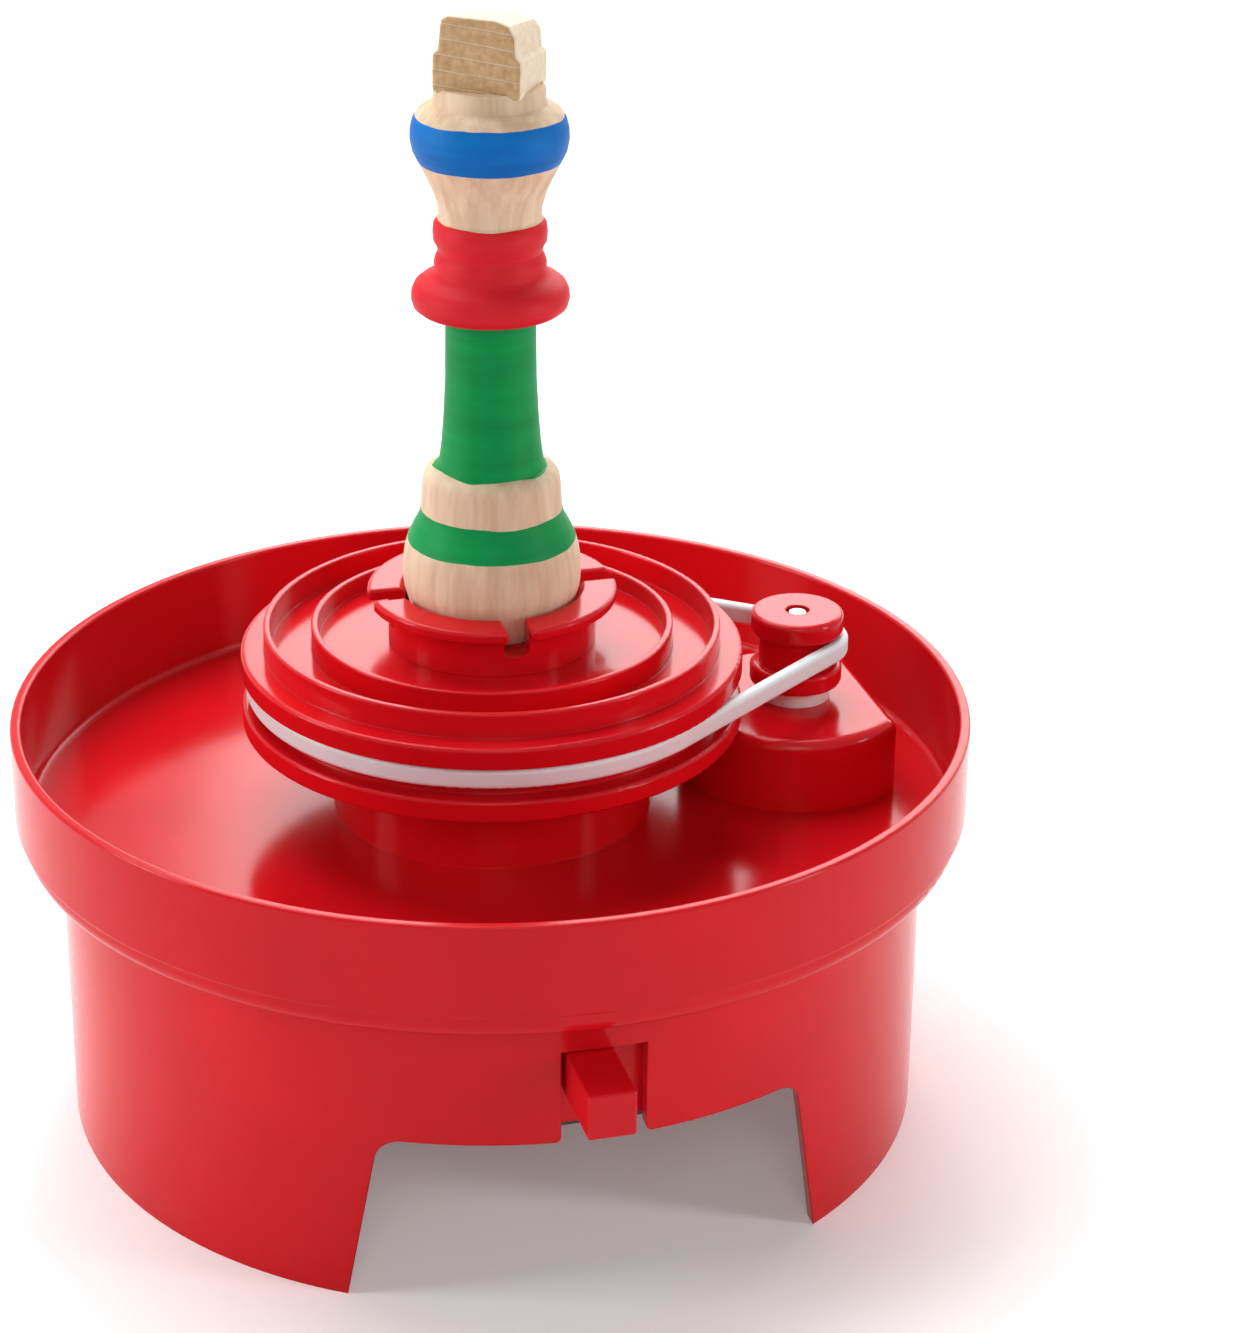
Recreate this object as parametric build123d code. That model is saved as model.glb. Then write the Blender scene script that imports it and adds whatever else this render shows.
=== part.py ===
from build123d import *
import math
import os

# Spin art machine, in millimetres. Z = 0 is the surface that it stands on, Z is the axis of the
# turntable, the switch is at the front towards -Y and the motor is at the right towards +X.

# Tub
rim_radius = 80.0
base_height = 51.6
tub_depth = 18.1
band_height = 15.7
tub_wall = 1.8
floor_thickness = 1.6
floor_fillet = 1.2
lip_step = 0.8
shell_round = 2.6
rim_round = 0.5
pedestal_gap = 6.75
pedestal_height = 14.85
boss_radius = 6.0
boss_rise = 1.8
locating_depth = 2.0
locating_wall = 1.6

# Skirt that carries the tub
skirt_setback = 7.2
skirt_wall = 2.4
cutout_foot_half = 38.6
cutout_top_half = 33.8
cutout_round = 4.0
notch_width = 13.6
notch_height = 15.9
notch_drop = 6.3
notch_round = 1.0
lug_radius = 4.5
lug_thickness = 2.0
lug_drop = 8.0
lug_inset = 5.9
lug_angles = (45, 135, 225, 315)

# Turntable wheel
wheel_gap = 0.9
spool_gap = 3.85
flange_height = 3.65
groove_depth = 3.15
groove_height = 5.55
wheel_plate = 1.8
outer_ring_inset = 3.85
inner_ring_inset = 11.75
ring_wall = 1.15
ring_height = 4.25
deck_rise = 1.2
wheel_hub_radius = 9.0
counterbore_radius = 7.2
counterbore_depth = 3.4
edge_round = 0.6

# Spindle and what turns on it
spindle_radius = 2.5
spindle_flange_radius = 4.5
spindle_flange_height = 1.5
bush_wall = 1.0
washer_radius = 5.5
washer_thickness = 0.7
thrust_washer_thickness = 0.6
end_play = 0.15
running_clearance = 0.03

# Collar on the turntable
collar_neck_radius = 17.2
collar_flange_radius = 20.6
collar_flange_height = 2.0
collar_height = 9.2
collar_bore_radius = 14.3
collar_floor = 3.4
collar_slot_width = 4.1
collar_lead_in = 1.0
collar_slot_round = 1.2
collar_screw_circle = 12.0

# Wooden figure, heights above its foot
figure_clearance = 0.05
figure_foot_radius = 12.8
figure_seat_radius = 13.9
figure_seat_height = 4.8
figure_belly_radius = 14.4
figure_belly_height = 11.0
figure_shoulder_radius = 11.3
figure_shoulder_height = 24.6
figure_stem_foot_radius = 8.8
figure_stem_waist_radius = 7.3
figure_stem_height = 50.1
figure_skirt_radius = 12.7
figure_waist_ring_radius = 8.9
figure_waist_groove_radius = 8.2
figure_bust_radius = 8.6
figure_head_radius = 12.5
figure_neck_radius = 8.6
figure_turned_height = 89.4
figure_block_width = 14.6
figure_block_depth = 13.2
figure_block_height = 12.4
figure_block_step = 6.0
figure_block_inset = 0.9
figure_block_round = 1.6
figure_turn = -33.0
figure_belly_curl = 7.0
figure_belly_taper = 0.7
figure_shoulder_drop = 1.3
figure_stem_dip = 11.5
figure_skirt_flare = 2.6
figure_skirt_height = 9.5
figure_skirt_bulge = 4.4
figure_skirt_curl = 7.0
figure_groove_height = 2.4
figure_groove_half = 0.6
figure_ring_height = 6.6
figure_bust_height = 9.2
figure_bust_swell = 1.9
figure_head_rise = 5.6
figure_head_taper = 2.0
figure_neck_height = 2.7

# Motor, standing under its cover
motor_inset = 26.5
motor_radius = 12.1
motor_flat_half = 9.1
motor_length = 27.0
motor_wall = 0.9
motor_cap_height = 3.5
motor_boss_radius = 5.0
motor_gap = 0.3
shaft_radius = 1.6
bearing_flange_radius = 6.0
bearing_slot_width = 0.9
bearing_slot_angle = -24.0
bearing_spigot_radius = 3.2
bearing_gap = 0.3
magnet_length = 18.0
air_gap = 0.5
armature_length = 14.0
pole_web = 2.4
pole_shoe = 1.3
pole_hub = 3.0
winding_bulk = 1.5
commutator_radius = 2.6
commutator_length = 6.0
terminal_rows = (-4.0, 4.0)
terminal_half_width = 1.0
terminal_thickness = 0.5
terminal_reach = 3.4

# Motor cover on the tub floor
cover_height = 13.0
cover_radius = 19.95
cover_flat_reach = 13.7
cover_wall = 1.8
cover_round = 2.0
cover_corner_round = 2.4
cover_boss_offset = 16.2
cover_boss_radius = 2.6

# Belt drive
belt_height = 3.6
belt_thickness = 2.2
belt_round = 0.9
belt_top_gap = 0.2
belt_root_gap = 0.2
pulley_radius = 7.9
pulley_cap_height = 3.85
pulley_root_radius = 6.4
pulley_round = 0.9

# Motor cradle under the tub floor
cradle_play = 0.25
cradle_wall = 1.4
cradle_plate = 1.8
cradle_lip = 1.5
cradle_ear_radius = 3.6

# Screws
screw_radius = 1.1
screw_head_radius = 2.2
screw_head_height = 1.4
screw_hole_play = 0.25
screw_slot_width = 0.6
small_screw_radius = 0.9
small_screw_head_radius = 1.9

# Battery box with two AA cells, lying along Y
cell_diameter = 14.5
cell_length = 50.5
cell_nub_radius = 2.75
cell_nub_length = 1.0
cell_play = 0.4
spring_length = 4.5
contact_thickness = 0.5
contact_width = 9.0
box_inset = 33.3
box_wall = 1.6
door_thickness = 1.6
box_ear_radius = 4.0
box_ear_offset = 9.0
box_ear_reach = 4.0
box_boss_drop = 6.0
tag_width = 2.4
tag_reach = 3.6

# Switch
bar_width = 7.6
bar_height = 7.6
bar_proud = 12.9
bar_drop = 0.2
bar_play = 0.7
bar_round = 0.4
plate_thickness = 1.8
plate_margin = 1.2
plate_top_margin = 2.4
plate_height = 17.0
plate_setback = 1.5
slider_gap = 0.2
bracket_wall = 1.6
bracket_depth = 5.1
rail_height = 1.4
bracket_end_gap = 0.4
bracket_ear_half = 22.0
bracket_screw_x = 18.5
bracket_ear_height = 9.0
leaf_thickness = 0.4
leaf_height = 6.0
leaf_gap = 1.6
leaf_tail_reach = 4.5
leaf_tail_width = 2.0
leaf_tail_x = (-7.35, 6.0)
switch_boss_radius = 3.0

# Leads
lead_radius = 0.7
lead_drop = 7.0
lead_start = 5.3
lead_turn = 8.0
floor_lead_gap = 3.0

# Places across the machine that follow from the sizes above
lip_radius = rim_radius - lip_step
skirt_radius = rim_radius - skirt_setback
skirt_inner = skirt_radius - skirt_wall
lug_circle = skirt_inner - lug_inset
motor_x = rim_radius - motor_inset
flange_radius = motor_x - pulley_radius - spool_gap
groove_radius = flange_radius - groove_depth
outer_ring_radius = flange_radius - outer_ring_inset
inner_ring_radius = flange_radius - inner_ring_inset
pedestal_radius = motor_x - cover_radius - pedestal_gap
box_x = box_inset - skirt_radius
bar_reach = skirt_radius + bar_proud

# Heights that follow from the sizes above
over_cut = 1.0
floor_z = base_height + floor_thickness
rim_top_z = floor_z + tub_depth
band_bottom_z = rim_top_z - band_height
pedestal_top_z = floor_z + pedestal_height
boss_top_z = pedestal_top_z + boss_rise
wheel_bottom_z = pedestal_top_z + wheel_gap
groove_bottom_z = wheel_bottom_z + flange_height
groove_top_z = groove_bottom_z + groove_height
wheel_top_z = groove_top_z + flange_height
ring_top_z = wheel_top_z + ring_height
deck_z = wheel_top_z + deck_rise
counterbore_z = deck_z - counterbore_depth
hub_bottom_z = boss_top_z + thrust_washer_thickness + end_play / 2
seat_z = deck_z + collar_floor
collar_top_z = deck_z + collar_height
figure_foot_z = seat_z + figure_clearance
cover_top_z = floor_z + cover_height
can_top_z = cover_top_z - cover_wall - motor_gap
can_bottom_z = can_top_z - motor_length
motor_bottom_z = can_bottom_z - motor_cap_height
armature_low_z = can_bottom_z + (motor_length - armature_length) / 2 + motor_wall
armature_radius = motor_flat_half - motor_wall - air_gap
terminal_z = motor_bottom_z + motor_cap_height / 2
terminal_tip_x = motor_x - motor_flat_half - terminal_reach
pulley_top_z = groove_top_z + pulley_cap_height
lug_top_z = base_height - lug_drop
notch_top_z = base_height - notch_drop
cutout_height = notch_top_z - notch_height
cradle_radius = motor_radius + cradle_play + cradle_wall
cradle_bottom_z = motor_bottom_z - cradle_lip
cradle_screws = ((motor_x, cover_boss_offset), (motor_x, -cover_boss_offset))

# Battery box places
box_half_x = cell_diameter + 1.5 * cell_play + box_wall
box_inner_y = (cell_length + spring_length + 2 * contact_thickness) / 2
box_half_y = box_inner_y + box_wall
box_bottom_z = base_height - box_wall - cell_diameter - 2 * cell_play
cell_z = box_bottom_z + cell_play + cell_diameter / 2
cell_offset = (cell_diameter + cell_play) / 2
tag_offset = cell_offset - (contact_width - tag_width) / 2
ear_y_offset = box_half_y + box_ear_reach
box_mounts = ((box_x - box_ear_offset, ear_y_offset), (box_x + box_ear_offset, -ear_y_offset))
door_mounts = ((box_x + box_ear_offset, ear_y_offset), (box_x - box_ear_offset, -ear_y_offset))
box_mount_z = base_height - box_boss_drop

# Switch places
notch_half = notch_width / 2
bar_left_x = bar_play - notch_half
switch_travel = notch_width - bar_width - 2 * bar_play
bar_top_z = notch_top_z - bar_drop
bar_bottom_z = bar_top_z - bar_height
plate_left_x = -notch_half - plate_margin - switch_travel
plate_right_x = notch_half + plate_margin
plate_top_z = notch_top_z + plate_top_margin
plate_bottom_z = plate_top_z - plate_height
plate_front_y = plate_setback - skirt_inner
plate_back_y = plate_front_y + plate_thickness
bracket_back_y = plate_back_y + bracket_depth
bracket_half_x = -plate_left_x + bracket_end_gap
bracket_mid_z = (plate_top_z + plate_bottom_z) / 2
leaf_low_z = bracket_mid_z - leaf_height / 2
leaf_high_z = bracket_mid_z + leaf_height / 2
left_leaf_x = (-bracket_half_x + leaf_gap / 2, -leaf_gap - leaf_gap / 2)
right_leaf_x = (-leaf_gap / 2, bracket_half_x - leaf_gap / 2)


def cylinder(radius, low, high, x=0.0, y=0.0):
    """Upright cylinder between two heights."""
    return Pos(x, y, (low + high) / 2) * Cylinder(radius, high - low)


def tube(outer, inner, low, high, x=0.0, y=0.0):
    """Upright ring between two heights."""
    return cylinder(outer, low, high, x, y) - cylinder(inner, low - over_cut, high + over_cut, x, y)


def block(x0, x1, y0, y1, z0, z1):
    """Box between two corners."""
    return Pos((x0 + x1) / 2, (y0 + y1) / 2, (z0 + z1) / 2) * Box(x1 - x0, y1 - y0, z1 - z0)


def rod_y(radius, x, z, y0, y1):
    """Cylinder that lies along Y."""
    return Pos(x, (y0 + y1) / 2, z) * Rot(90, 0, 0) * Cylinder(radius, y1 - y0)


def turned(points, rounds=()):
    """Solid of revolution about Z from (radius, height) corners, some of them rounded."""
    face = Face(Wire.make_polygon([(radius, 0, height) for radius, height in points]))
    for (radius, height), fillet_radius in rounds:
        corner = face.vertices().sort_by_distance((radius, 0, height))[0]
        face = face.fillet_2d(fillet_radius, [corner])
    return revolve(face, Axis.Z)


def screw(x, y, seat, length, radius=screw_radius, head_radius=screw_head_radius):
    """Screw driven upwards, its head under the height called seat."""
    head = cylinder(head_radius, seat - screw_head_height, seat, x, y)
    slot = block(x - head_radius, x + head_radius, y - screw_slot_width / 2, y + screw_slot_width / 2,
                 seat - screw_head_height - over_cut, seat - screw_head_height / 2)
    return head - slot + cylinder(radius, seat, seat + length, x, y)


def round_positions(circle, angles):
    """Points on a circle about Z, by angle from +X."""
    return [(circle * math.cos(math.radians(a)), circle * math.sin(math.radians(a))) for a in angles]


def joined(solids):
    """One shape from several solids."""
    total = solids[0]
    for solid in solids[1:]:
        total = total + solid
    return total


def lead(points):
    """Insulated wire along straight runs, with an arc as large as its two runs allow at each corner."""
    corners = [Vector(*point) for point in points]
    radii = []
    for before, here, after in zip(corners, corners[1:], corners[2:]):
        turn = math.radians((here - before).get_angle(after - here))
        shorter = min((here - before).length, (after - here).length)
        radii.append(0.45 * shorter / math.tan(turn / 2))
    path = FilletPolyline(*corners, radius=radii)
    section = Plane(origin=path @ 0, z_dir=path % 0) * Circle(lead_radius)
    solid = sweep(section, path=path)
    print("lead", [round(r, 1) for r in radii], "length", round(path.length, 1))
    return solid


def save(node, shape):
    """Write one node."""
    shape.label = node
    export_step(shape, f"parts/{node}.step")


# Tub, skirt and motor cover

def motor_outline(play):
    """The motor's round plan with its two flats."""
    radius = motor_radius + play
    half = motor_flat_half + play
    return Pos(motor_x, 0) * (Circle(radius) & Rectangle(2 * half, 2 * radius))


def basin():
    body = turned(
        [
            (spindle_radius, base_height),
            (boss_radius, base_height),
            (boss_radius, pedestal_top_z - tub_wall),
            (pedestal_radius - tub_wall, pedestal_top_z - tub_wall),
            (pedestal_radius - tub_wall, base_height),
            (lip_radius, base_height),
            (lip_radius, band_bottom_z),
            (rim_radius, band_bottom_z),
            (rim_radius, rim_top_z),
            (rim_radius - tub_wall, rim_top_z),
            (rim_radius - tub_wall, floor_z),
            (pedestal_radius, floor_z),
            (pedestal_radius, pedestal_top_z),
            (boss_radius, pedestal_top_z),
            (boss_radius, boss_top_z),
            (spindle_radius, boss_top_z),
        ],
        [
            ((lip_radius, base_height), shell_round),
            ((rim_radius - tub_wall, floor_z), floor_fillet),
            ((rim_radius, band_bottom_z), rim_round),
            ((rim_radius, rim_top_z), rim_round),
            ((rim_radius - tub_wall, rim_top_z), rim_round),
        ],
    )
    locating_outer = skirt_inner - screw_hole_play
    body += tube(locating_outer, locating_outer - locating_wall, base_height - locating_depth, base_height)
    for x, y in round_positions(lug_circle, lug_angles):
        body += cylinder(lug_radius - tub_wall / 2, lug_top_z, base_height, x, y)
        body -= cylinder(screw_radius, lug_top_z - over_cut, base_height, x, y)
    for x, y in box_mounts:
        body += cylinder(box_ear_radius - tub_wall / 2, box_mount_z, base_height, x, y)
        body -= cylinder(screw_radius, box_mount_z - over_cut, base_height, x, y)
    opening = extrude(motor_outline(cradle_play + cradle_wall / 2), tub_depth)
    body -= Pos(0, 0, base_height - over_cut) * opening
    for x, y in cradle_screws:
        body -= cylinder(screw_radius + screw_hole_play, base_height - over_cut, floor_z + over_cut, x, y)
    return body


def notch_outline():
    """Front view of the switch notch, with the rounded corners where it opens into the cut-out."""
    low = cutout_height - over_cut
    mouth = Polyline(
        (-notch_half, notch_top_z), (-notch_half, cutout_height), (-notch_half - 2 * over_cut, cutout_height),
        (-notch_half - 2 * over_cut, low), (notch_half + 2 * over_cut, low),
        (notch_half + 2 * over_cut, cutout_height), (notch_half, cutout_height), (notch_half, notch_top_z),
        close=True)
    outline = make_face(mouth)
    places = [(side * notch_half, cutout_height, 0) for side in (-1, 1)]
    corners = [outline.vertices().sort_by_distance(place)[0] for place in places]
    return fillet(corners, notch_round)


def base_skirt():
    wall = tube(skirt_radius, skirt_inner, 0, base_height)
    outline = Polyline(
        (-cutout_foot_half, 0), (-cutout_top_half, cutout_height),
        (cutout_top_half, cutout_height), (cutout_foot_half, 0), close=True)
    opening = make_face(outline)
    top_corners = opening.vertices().group_by(Axis.Y)[-1]
    opening = Plane.XZ * fillet(top_corners, cutout_round)
    body = wall - extrude(opening, rim_radius, both=True)
    body -= block(-cutout_foot_half - over_cut, cutout_foot_half + over_cut,
                  -rim_radius, rim_radius, -over_cut, 0)
    body -= extrude(Plane.XZ * notch_outline(), rim_radius)
    for x, y in round_positions(lug_circle, lug_angles):
        angle = math.degrees(math.atan2(y, x))
        lug = cylinder(lug_radius, lug_top_z - lug_thickness, lug_top_z, x, y)
        web = block(lug_circle, skirt_inner + skirt_wall / 2, -lug_radius, lug_radius,
                    lug_top_z - lug_thickness, lug_top_z)
        body += lug + Rot(0, 0, angle) * web
        hole = screw_radius + screw_hole_play
        body -= cylinder(hole, lug_top_z - 2 * lug_thickness, lug_top_z + over_cut, x, y)
    for side in (-1, 1):
        x = side * bracket_screw_x
        wall_y = -math.sqrt(skirt_inner ** 2 - bracket_screw_x ** 2)
        body += rod_y(switch_boss_radius, x, bracket_mid_z, wall_y - skirt_wall / 2, bracket_back_y)
        body -= rod_y(small_screw_radius, x, bracket_mid_z, wall_y, bracket_back_y + over_cut)
    return body


def cover_outline(inset):
    """D-shaped plan of the motor cover, with its flat towards the tub's wall."""
    flat = cover_flat_reach - inset
    keep = Pos(flat - rim_radius / 2, 0) * Rectangle(rim_radius, rim_radius)
    return Pos(motor_x, 0) * (Circle(cover_radius - inset) & keep)


def motor_cover():
    plan = cover_outline(0)
    plan = fillet(plan.vertices(), cover_corner_round)
    body = extrude(Pos(0, 0, floor_z) * plan, cover_height)
    body = fillet(body.edges().group_by(Axis.Z)[-1], cover_round)
    below = floor_z - over_cut
    inside_height = cover_height - cover_wall + over_cut
    body -= extrude(Pos(0, 0, below) * cover_outline(cover_wall), inside_height)
    for x, y in cradle_screws:
        body += cylinder(cover_boss_radius, floor_z, cover_top_z - cover_wall / 2, x, y)
    body -= extrude(Pos(0, 0, below) * motor_outline(motor_gap), inside_height)
    body -= cylinder(motor_boss_radius + screw_hole_play, floor_z, cover_top_z + over_cut, motor_x)
    for x, y in cradle_screws:
        body -= cylinder(screw_radius, below, cover_top_z - cover_round - cover_wall, x, y)
    return body


# Turntable

def turntable_wheel():
    under_plate = groove_bottom_z - wheel_plate
    core = groove_radius - wheel_plate
    lip = flange_radius - wheel_plate
    step = inner_ring_radius - ring_wall / 2
    bore = spindle_radius + running_clearance + bush_wall
    wheel = turned(
        [
            (bore, hub_bottom_z),
            (wheel_hub_radius, hub_bottom_z),
            (wheel_hub_radius, deck_z - wheel_plate),
            (step, deck_z - wheel_plate),
            (step, wheel_top_z - wheel_plate),
            (core, wheel_top_z - wheel_plate),
            (core, under_plate),
            (lip, under_plate),
            (lip, wheel_bottom_z),
            (flange_radius, wheel_bottom_z),
            (flange_radius, groove_bottom_z),
            (groove_radius, groove_bottom_z),
            (groove_radius, groove_top_z),
            (flange_radius, groove_top_z),
            (flange_radius, wheel_top_z),
            (outer_ring_radius, wheel_top_z),
            (outer_ring_radius, ring_top_z),
            (outer_ring_radius - ring_wall, ring_top_z),
            (outer_ring_radius - ring_wall, wheel_top_z),
            (inner_ring_radius, wheel_top_z),
            (inner_ring_radius, ring_top_z),
            (inner_ring_radius - ring_wall, ring_top_z),
            (inner_ring_radius - ring_wall, deck_z),
            (counterbore_radius, deck_z),
            (counterbore_radius, counterbore_z),
            (bore, counterbore_z),
        ],
        [
            ((flange_radius, wheel_bottom_z), edge_round),
            ((flange_radius, groove_bottom_z), edge_round),
            ((flange_radius, groove_top_z), edge_round / 2),
            ((flange_radius, wheel_top_z), edge_round),
            ((outer_ring_radius, ring_top_z), edge_round / 2),
            ((outer_ring_radius - ring_wall, ring_top_z), edge_round / 2),
            ((inner_ring_radius, ring_top_z), edge_round / 2),
            ((inner_ring_radius - ring_wall, ring_top_z), edge_round / 2),
        ],
    )
    for x, y in round_positions(collar_screw_circle, (30, 150, 270)):
        wheel -= cylinder(small_screw_radius + screw_hole_play, counterbore_z, deck_z + over_cut, x, y)
    return wheel


def is_on_flange(edge):
    """True for an upright edge at the outside of the collar's flange."""
    centre = edge.center()
    return math.hypot(centre.X, centre.Y) > collar_neck_radius + edge_round


def figure_collar():
    bore_mouth = collar_bore_radius + collar_lead_in
    collar = turned(
        [
            (0, deck_z),
            (collar_neck_radius, deck_z),
            (collar_neck_radius, collar_top_z - collar_flange_height),
            (collar_flange_radius, collar_top_z - collar_flange_height),
            (collar_flange_radius, collar_top_z),
            (bore_mouth, collar_top_z),
            (collar_bore_radius, collar_top_z - collar_lead_in),
            (collar_bore_radius, seat_z),
            (0, seat_z),
        ],
        [
            ((collar_flange_radius, collar_top_z - collar_flange_height), edge_round),
            ((collar_flange_radius, collar_top_z), edge_round),
        ],
    )
    half = collar_slot_width / 2
    reach = collar_flange_radius + over_cut
    inside = collar_bore_radius - over_cut
    for angle in (0, 90, 180, 270):
        slot = block(inside, reach, -half, half, seat_z, collar_top_z + over_cut)
        floor_edges = slot.edges().filter_by(Axis.X).group_by(Axis.Z)[0]
        collar -= Rot(0, 0, angle) * fillet(floor_edges, collar_slot_round)
    rim_edges = collar.edges().filter_by(Axis.Z).group_by(Axis.Z)[-1]
    collar = fillet([e for e in rim_edges if is_on_flange(e)], edge_round)
    for x, y in round_positions(collar_screw_circle, (30, 150, 270)):
        collar -= cylinder(small_screw_radius, deck_z - over_cut, seat_z - edge_round, x, y)
    return collar


def collar_screws():
    seat = deck_z - wheel_plate
    length = seat_z - edge_round - seat
    places = round_positions(collar_screw_circle, (30, 150, 270))
    return joined([screw(x, y, seat, length, small_screw_radius, small_screw_head_radius) for x, y in places])


def spindle():
    pin = cylinder(spindle_radius, base_height, counterbore_z + end_play)
    pin += cylinder(spindle_flange_radius, base_height - spindle_flange_height, base_height)
    thread = cylinder(screw_radius, pedestal_top_z, counterbore_z + end_play + over_cut)
    return pin - thread


def retaining_screw():
    seat = counterbore_z + end_play + washer_thickness
    head = cylinder(screw_head_radius + edge_round, seat, seat + screw_head_height)
    slot = block(-washer_radius, washer_radius, -screw_slot_width / 2, screw_slot_width / 2,
                 seat + screw_head_height / 2, seat + screw_head_height + over_cut)
    return head - slot + cylinder(screw_radius, pedestal_top_z, seat)


# Wooden figure

def wooden_figure():
    foot = figure_foot_z
    belly = foot + figure_belly_height
    belly_top = belly + figure_belly_curl
    shoulder = foot + figure_shoulder_height
    stem_low = shoulder + figure_shoulder_drop
    stem_top = foot + figure_stem_height
    skirt_turn = stem_top + figure_skirt_curl
    ring_low = stem_top + figure_skirt_height
    groove = ring_low + figure_groove_height
    ring_top = ring_low + figure_ring_height
    bust_low = ring_top + figure_groove_half
    head_low = ring_top + figure_bust_height
    neck_top = foot + figure_turned_height
    neck = neck_top - figure_neck_height
    head_top = neck - figure_block_inset
    taper = figure_belly_taper
    ring = figure_waist_ring_radius
    dent = figure_groove_half
    outline = [
        Line((0, foot), (figure_foot_radius, foot)),
        ThreePointArc((figure_foot_radius, foot), (figure_seat_radius, foot + figure_seat_height),
                      (figure_belly_radius, belly)),
        ThreePointArc((figure_belly_radius, belly),
                      (figure_belly_radius - taper, belly + figure_belly_curl / 3),
                      (figure_shoulder_radius + taper, belly_top)),
        Line((figure_shoulder_radius + taper, belly_top), (figure_shoulder_radius, shoulder)),
        ThreePointArc((figure_shoulder_radius, shoulder),
                      (figure_shoulder_radius - dent, stem_low - figure_shoulder_drop / 3),
                      (figure_stem_foot_radius, stem_low)),
        ThreePointArc((figure_stem_foot_radius, stem_low),
                      (figure_stem_waist_radius + taper / 2, shoulder + figure_stem_dip),
                      (figure_stem_waist_radius, stem_top)),
        Line((figure_stem_waist_radius, stem_top), (figure_skirt_radius - figure_skirt_flare, stem_top)),
        ThreePointArc((figure_skirt_radius - figure_skirt_flare, stem_top),
                      (figure_skirt_radius, stem_top + figure_skirt_bulge),
                      (figure_skirt_radius - figure_skirt_flare / 2, skirt_turn)),
        ThreePointArc((figure_skirt_radius - figure_skirt_flare / 2, skirt_turn),
                      (ring + taper, (skirt_turn + ring_low) / 2), (ring, ring_low)),
        Line((ring, ring_low), (ring, groove - dent)),
        ThreePointArc((ring, groove - dent), (figure_waist_groove_radius, groove), (ring, groove + dent)),
        Line((ring, groove + dent), (ring, ring_top)),
        Line((ring, ring_top), (figure_bust_radius, bust_low)),
        ThreePointArc((figure_bust_radius, bust_low), (figure_bust_radius + dent, (bust_low + head_low) / 2),
                      (figure_bust_radius + figure_bust_swell, head_low)),
        ThreePointArc((figure_bust_radius + figure_bust_swell, head_low),
                      (figure_head_radius, head_low + figure_head_rise),
                      (figure_head_radius - figure_head_taper, head_top)),
        Line((figure_head_radius - figure_head_taper, head_top), (figure_neck_radius, neck)),
        Line((figure_neck_radius, neck), (figure_neck_radius, neck_top)),
        Line((figure_neck_radius, neck_top), (0, neck_top)),
        Line((0, neck_top), (0, foot)),
    ]
    body = revolve(Plane.XZ * make_face(outline), Axis.Z)
    half_w = figure_block_width / 2
    half_d = figure_block_depth / 2
    step_z = neck_top + figure_block_step
    top_z = neck_top + figure_block_height
    lower = block(-half_w, half_w, -half_d, half_d, neck_top, step_z)
    inset = figure_block_inset
    upper = block(inset - half_w, half_w - inset, inset - half_d, half_d - inset, neck_top, top_z)
    lower = fillet(lower.edges(), figure_block_inset)
    upper = fillet(upper.edges().filter_by(Axis.Z) + upper.edges().group_by(Axis.Z)[-1], figure_block_round)
    core = cylinder(figure_neck_radius - figure_block_round, neck_top - over_cut, step_z)
    return body + Rot(0, 0, figure_turn) * (lower + upper + core)


# Drive

def belt_outline(wheel_radius, pulley_radius):
    """Closed path round both pulleys, straight where it runs free."""
    lean = math.acos((wheel_radius - pulley_radius) / motor_x)
    cos, sin = math.cos(lean), math.sin(lean)
    wheel_side = (wheel_radius * cos, wheel_radius * sin)
    pulley_side = (motor_x + pulley_radius * cos, pulley_radius * sin)
    wheel_low = (wheel_side[0], -wheel_side[1])
    pulley_low = (pulley_side[0], -pulley_side[1])
    return make_face([
        Line(wheel_side, pulley_side),
        ThreePointArc(pulley_side, (motor_x + pulley_radius, 0), pulley_low),
        Line(pulley_low, wheel_low),
        ThreePointArc(wheel_low, (-wheel_radius, 0), wheel_side),
    ])


def drive_belt():
    inner_wheel = groove_radius + belt_root_gap
    inner_pulley = pulley_root_radius + belt_root_gap
    ring = belt_outline(inner_wheel + belt_thickness, inner_pulley + belt_thickness)
    ring -= belt_outline(inner_wheel, inner_pulley)
    belt_low_z = groove_top_z - belt_top_gap - belt_height
    band = extrude(Pos(0, 0, belt_low_z) * ring, belt_height)
    edges = band.faces().sort_by(Axis.Z)[0].edges() + band.faces().sort_by(Axis.Z)[-1].edges()
    return fillet(edges, belt_round)


def motor_pulley():
    recess = shaft_radius + pulley_round / 2
    pulley = turned(
        [
            (shaft_radius, wheel_bottom_z),
            (pulley_radius, wheel_bottom_z),
            (pulley_radius, groove_bottom_z),
            (pulley_root_radius, groove_bottom_z),
            (pulley_root_radius, groove_top_z),
            (pulley_radius, groove_top_z),
            (pulley_radius, pulley_top_z),
            (recess, pulley_top_z),
            (recess, pulley_top_z - pulley_round),
            (shaft_radius, pulley_top_z - pulley_round),
        ],
        [
            ((pulley_radius, wheel_bottom_z), pulley_round),
            ((pulley_radius, groove_bottom_z), pulley_round),
            ((pulley_radius, groove_top_z), pulley_round),
            ((pulley_radius, pulley_top_z), pulley_round),
        ],
    )
    return Pos(motor_x, 0, 0) * pulley


def motor_shaft():
    low = motor_bottom_z + motor_wall + end_play
    shaft = cylinder(shaft_radius, low, pulley_top_z - edge_round / 2, motor_x)
    top = shaft.edges().sort_by(Axis.Z)[-1]
    return fillet(top, edge_round / 2)


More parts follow.
